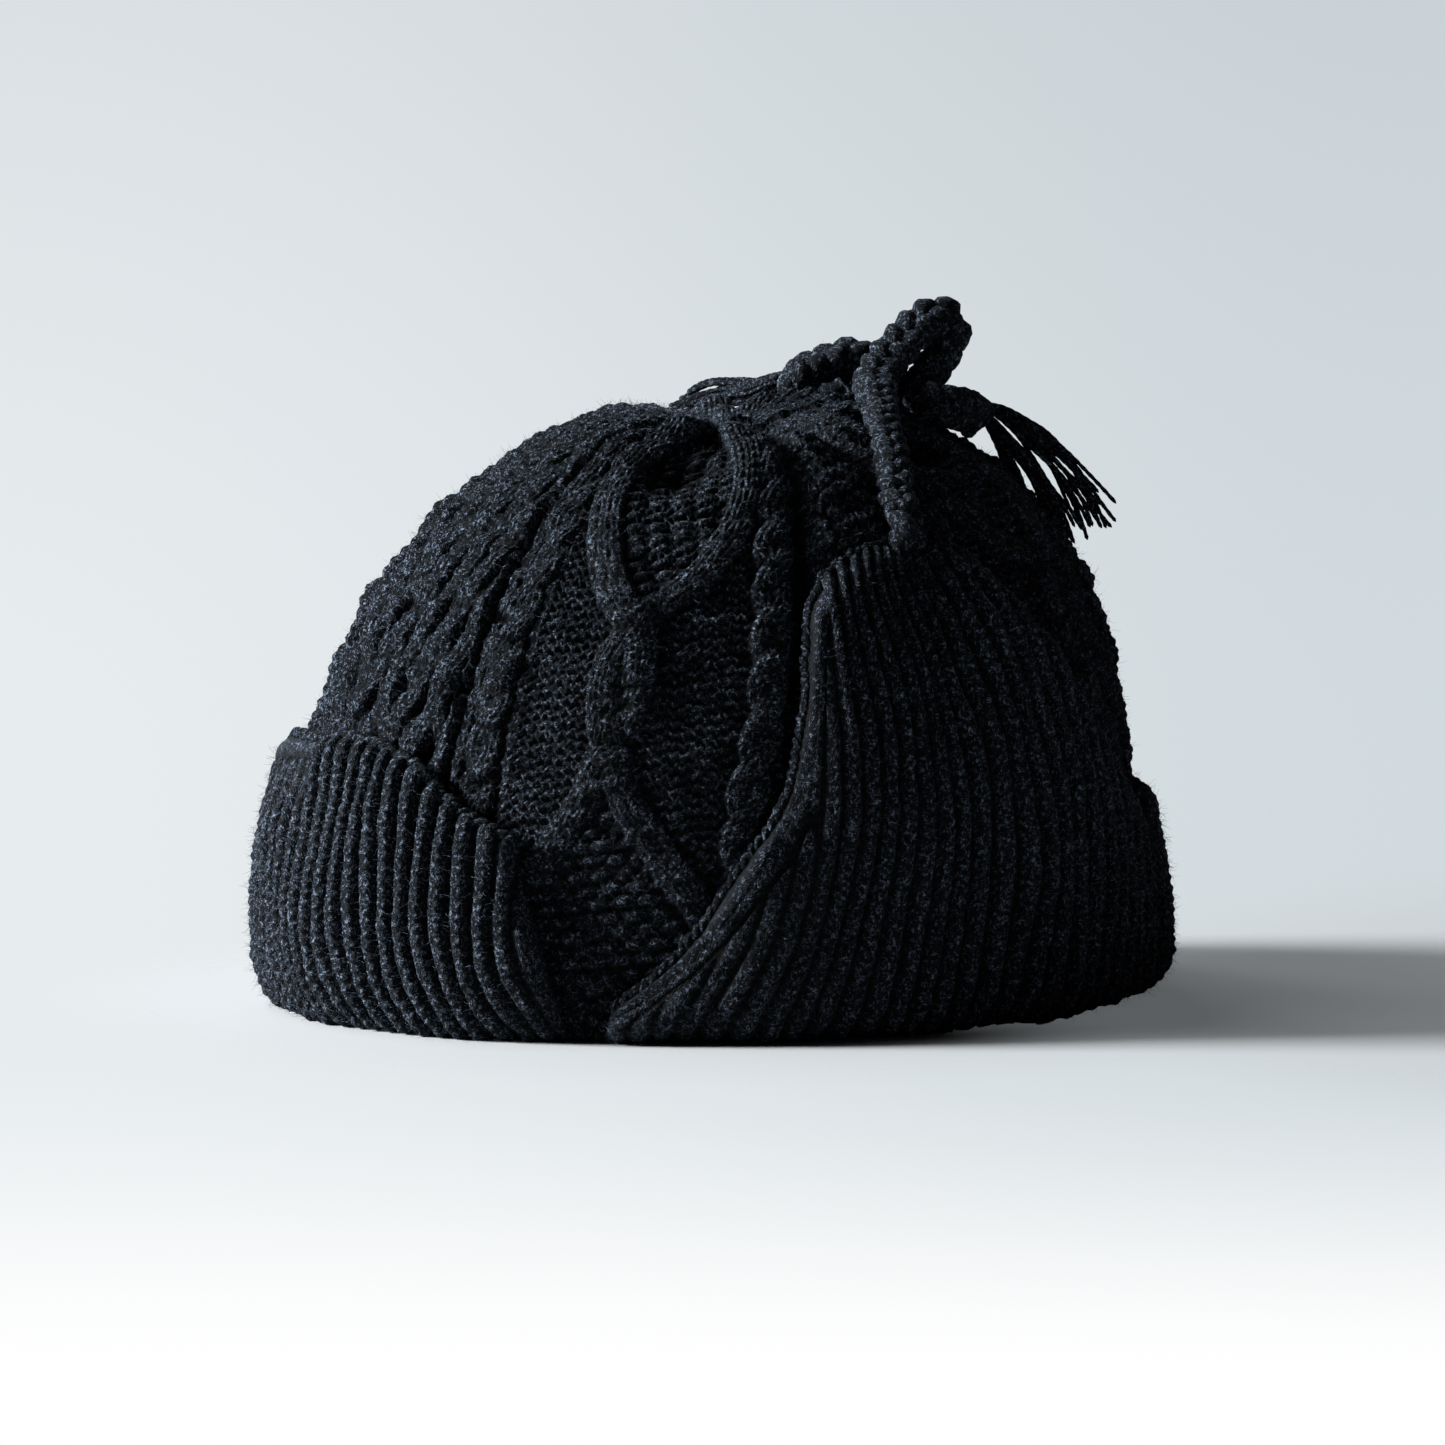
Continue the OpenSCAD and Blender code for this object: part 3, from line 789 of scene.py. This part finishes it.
def flap(name, edge, height, thick, lean, fold, ribs_at, mirrored=False, skew=0.0, band_to=0.0):
    """A turned-up flap. fold is the height over which it rolls up from its foot, and band_to is the
    angle up to which a knit column runs along the leading edge."""
    line = curve(edge, 10)
    arc = lengths(np.column_stack([np.radians(line[:, 0]) * half_l, line[:, 1] * height * 0.5]))
    columns = round(np.radians(np.ptp(line[:, 0])) * (half_w + half_l) / 2 / 0.66)
    at = np.linspace(0, arc[-1], columns)
    phi, tops = np.interp(at, arc, line[:, 0]), np.interp(at, arc, line[:, 1]) * height
    run = np.concatenate([[0], np.cumsum(np.hypot(np.diff(phi) * 1.75, np.diff(tops) * 0.4))])
    end = np.minimum(run, run[-1] - run)
    narrow = 0.3 + 0.7 * hump(1 - np.clip(end / 5.0, 0, 1))
    fine = round(height / 0.62)
    outer, inner = np.linspace(0, 1, fine), np.linspace(0, 1, 26)
    sections = []
    for top, share in zip(tops, narrow):
        wide = thick * share
        tall = max(top - LIFT, 3.0)
        r = min(wide / 2, tall / 3)
        z = LIFT + (tall - r) * outer ** 1.12
        swell = hump(1 - np.clip((z - LIFT) / min(fold, tall * 0.8), 0, 1))
        shrink = 1 - 0.38 * np.clip(outer - 0.45, 0, 1) ** 1.5 / 0.41
        outside = np.stack([FLAP_GAP + lean * (z / height) ** 2 + wide * swell * shrink, z], 1)
        turn = np.linspace(0, np.pi, 12)[1:-1]
        base = FLAP_GAP + lean * ((LIFT + tall - r) / height) ** 2
        over = np.stack([base + wide * 0.31 * (1 + np.cos(turn)), LIFT + tall - r + r * np.sin(turn)], 1)
        zi = LIFT + (tall - r) * (1 - inner[:-1])
        back = np.stack([FLAP_GAP + lean * (zi / height) ** 2, zi], 1)
        sections.append(np.vstack([outside, over, back]))
    sections = np.array(sections)
    count = sections.shape[1]
    Z = sections[..., 1]
    PHI = phi[:, None] * (1 + skew * (1 - Z / (0.23 * height)))
    base = on_crown(PHI, Z, sections[..., 0])
    out = unit(np.cross(np.gradient(base, axis=0), np.gradient(base, axis=1)) + 1e-9)
    base = base + out * (0.7 * uneven(base, 34, 5) + 0.3 * uneven(base, 9, 6))[..., None]
    run = np.concatenate([np.zeros((columns, 1)), np.cumsum(np.linalg.norm(
        np.diff(sections, axis=1), axis=2), 1)], 1)
    sway = 0.10 * np.sin(PHI / 7.0 + Z / 17.0) + 0.07 * np.sin(PHI / 2.3 - Z / 9.0)
    u, v = ribs_at(PHI, Z) + sway, run / COURSE + 0.12 * np.sin(PHI * 1.3)
    slope = np.gradient(tops) / np.maximum(np.gradient(phi) * 1.75, 0.05)
    edge_gap = (tops[:, None] - Z) / np.sqrt(1 + slope[:, None] ** 2)
    edge_gap = np.where((phi < band_to)[:, None], np.minimum(edge_gap, end[:, None] + 1), 99)
    banded = edge_gap < RIB
    u = np.where(banded, (edge_gap - 2.4) / RIB + 0.5, u)
    row = np.arange(count)
    strength = np.where(row < fine + 5, 1.0, 0.3) * (0.35 + 0.65 * step(end, 0, 5))[:, None]
    strength = strength * np.where(banded, 0.3, 0.3 + 0.7 * step(edge_gap, RIB, 4.5 * RIB))
    height_map = rib(u, v)
    points = base + out * ((height_map - 1.2) * strength)[..., None]
    if mirrored:
        points[..., 0] *= -1
    ids = np.arange(columns * count).reshape(columns, count)
    loop = np.concatenate([ids, ids[:, :1]], 1)
    faces = grid_faces(loop, mirrored)
    for column, flip in ((0, False), (-1, True)):
        front, rear = ids[column][:fine + 5], ids[column][:fine + 4:-1]
        faces += zip_edges(front, np.r_[front[0], rear], flip != mirrored)
    uv = np.stack([u, v], -1).reshape(-1, 2)
    # Painted shade: darker in the furrows between the ribs.
    relief = np.clip((height_map * np.maximum(strength, 0.7) - 0.15) / 2.1, 0, 1).ravel()
    piece = make_piece(name, [(points.reshape(-1, 3), faces, uv, relief)], rib_wool)
    return piece, points[:, fine + 5], base[:, :fine]


def straight_ribs(phi, z):
    return phi * 1.75 / RIB


def swept_ribs(phi, z):
    """Upright ribs that sweep to the wearer's left as they roll under at the fold."""
    return (phi - 5.5 * np.clip(1 - z / 30, 0, 1) ** 2) * 1.75 / RIB


def fanned_ribs(phi, z):
    """Ribs that stand upright at the back of an ear flap and lean along its leading edge."""
    lead = np.interp(z, [q[1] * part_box("left_ear_flap")[1].z / MM for q in ear_edge[:11]],
                     [q[0] for q in ear_edge[:11]])
    wide = np.maximum(96 - lead, 6.0)
    ahead = np.clip(96 - phi, 0, None)
    squeeze = np.where(phi < 96, 1.12 * (45.0 / wide) ** 0.4, 1.0)
    return (np.where(phi < 96, -ahead * squeeze, phi - 96) - 4.0 * np.sin(np.pi * z / 100)) * 1.75 / EAR_RIB


tops = {name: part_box(name)[1].z / MM for name in ("front_flap", "neck_flap", "left_ear_flap")}
FRONT_THICK, NECK_THICK, EAR_THICK = 7.4, 9.5, 8.5
FRONT_LEAN = 4.0
FRONT_FOLD, PLAIN_FOLD = 20, 9
BAND_END = 80
front_flap, front_top, front_cloth = flap(
    "front_ribbed_flap", front_edge, tops["front_flap"], FRONT_THICK, FRONT_LEAN, FRONT_FOLD, swept_ribs,
    skew=0.06)
neck_flap, neck_top, neck_cloth = flap(
    "neck_ribbed_flap", neck_edge, tops["neck_flap"], NECK_THICK, 0.0, PLAIN_FOLD, straight_ribs)
left_ear, left_top, left_cloth = flap(
    "left_ear_ribbed_flap", ear_edge, tops["left_ear_flap"], EAR_THICK, 0.0, PLAIN_FOLD, fanned_ribs,
    band_to=BAND_END)
right_ear, right_top, right_cloth = flap(
    "right_ear_ribbed_flap", ear_edge, tops["left_ear_flap"], EAR_THICK, 0.0, PLAIN_FOLD, fanned_ribs,
    mirrored=True, band_to=BAND_END)
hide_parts("front_flap")
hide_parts("neck_flap")
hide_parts("left_ear_flap")
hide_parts("right_ear_flap")

# Edgings. A row of crochet runs along each flap's free edge, so that the rib doesn't fray. Its chain is
# two yarns that wind round each other over the edge.
EDGING_YARN = 0.95


def crochet_edge(name, line):
    line = evenly(line, 0.5)
    side, up = frames(line)
    turn = 2 * np.pi * lengths(line) / 5.6
    parts = [yarn(line + 0.5 * (np.cos(turn + a)[:, None] * side + np.sin(turn + a)[:, None] * up)
                  + np.array([0, 0, 0.5]), EDGING_YARN, 9, ply=0.18, plies=2, lay_length=3.2)
             for a in (0, np.pi)]
    return make_piece(name, parts, edge_wool)


front_edging = crochet_edge("front_crochet_edge", front_top)
neck_edging = crochet_edge("neck_crochet_edge", neck_top)
left_edging = crochet_edge("left_ear_crochet_edge", left_top)
right_edging = crochet_edge("right_ear_crochet_edge", right_top)
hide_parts("front_edging")
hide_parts("neck_edging")
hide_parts("left_ear_edging")
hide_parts("right_ear_edging")


# Tie anchors. The foot of each plait is opened out and stitched to the ear flap's tip, a little below
# its edge. It reaches into the start of the tie, so the two stay joined when the tie swings.
def anchor(side_name, path, mirrored):
    foot = (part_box("left_tie_anchor")[0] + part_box("left_tie_anchor")[1]) / 2 / MM
    low = np.array([foot.x + 0.8, foot.y, foot.z - 9.0])
    if mirrored:
        low[0] *= -1
    line = evenly(curve([low, (low + path[0]) / 2 + [0, 0, 0.5], path[6]], 12), 0.5)
    piece = make_piece(side_name + "_tie_foot", plait(line), braid_wool, side_name + "_ear_flap")
    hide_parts(side_name + "_tie_anchor")


anchor("left", left_path, False)
anchor("right", right_path, True)

# Gather. The last stitches of the crown are drawn up on one yarn, which is wound round twice and
# pulled tight.
ring = (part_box("gather_yarn")[0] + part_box("gather_yarn")[1]) / 2 / MM
turns = np.linspace(0, 4 * np.pi, 90)
reach = 3.4 + 0.05 * turns
coil = np.stack([ring.x + reach * np.cos(turns), ring.y + reach * np.sin(turns),
                 ring.z - 4.4 + 0.16 * turns], 1)
gather = make_piece("gather_coil", [yarn(evenly(coil, 0.5), 1.1, 10)], edge_wool, "crown")
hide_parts("gather_yarn")

# Rim band. The first courses of rib at the foot of the crown, where the flaps start. It is a closed
# ring with rounded corners.
RIM_RIBS = 118
columns = 960
turns = np.linspace(0, 360, columns, endpoint=False)
section = [(0.0, 0.8), (0.0, 1.6), (0.0, 2.4), (0.0, 3.2), (0.0, 4.2), (-0.6, 4.9), (-2.5, 5.0), (-4.4, 4.9),
           (-5.0, 4.2), (-5.0, 2.5), (-5.0, 0.8), (-4.4, 0.1), (-2.5, 0.0), (-0.6, 0.1)]
A, D = np.meshgrid(np.radians(turns), [q[0] for q in section], indexing="ij")
_, Z = np.meshgrid(turns, [q[1] for q in section], indexing="ij")
ribs = rib(A / (2 * np.pi) * RIM_RIBS, Z / COURSE) * (D == 0) * 0.35 - 0.5
band = np.stack([(half_w + D + ribs) * np.sin(A), -(half_l + D + ribs) * np.cos(A), Z], -1)
ids = np.arange(band[..., 0].size).reshape(band.shape[:2])
ids = np.concatenate([ids, ids[:1]], 0)
ids = np.concatenate([ids, ids[:, :1]], 1)
uv = np.stack([A / (2 * np.pi) * RIM_RIBS, Z / COURSE], -1).reshape(-1, 2)
rim = make_piece("ribbed_rim", [(band.reshape(-1, 3), grid_faces(ids), uv, np.full(len(uv), 0.6))], rib_wool,
                 "crown")
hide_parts("rim_band")

# Fibres on the flaps and the ties. The ties' fibres move with their ties; the flaps' fibres are on no body,
# like the flaps. They are shorter on the ties, where the plait holds the yarn together.
FLAP_HAIR, TIE_HAIR = 3.0, 2.6
flap_fibres = [fibres(piece.name + "_fibres", piece, 3200, FLAP_HAIR) for piece in
               (front_flap, neck_flap, left_ear, right_ear)]
fibres("left_tie_fibres", left_tie, 1400, TIE_HAIR, "left_tie")
fibres("right_tie_fibres", right_tie, 1500, TIE_HAIR, "right_tie")

# Flap pieces. Each flap is one cloth with the crown. The flap, its edging and its loose fibres are on no
# body, and here only their placement is baked into their points.
for piece, grid, hairs, edge_piece, body in (
        (front_flap, front_cloth, flap_fibres[0], front_edging, "front_flap"),
        (neck_flap, neck_cloth, flap_fibres[1], neck_edging, "neck_flap"),
        (left_ear, left_cloth, flap_fibres[2], left_edging, "left_ear_flap"),
        (right_ear, right_cloth, flap_fibres[3], right_edging, "right_ear_flap")):
    for cloth in (piece, hairs, edge_piece):
        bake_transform(cloth)
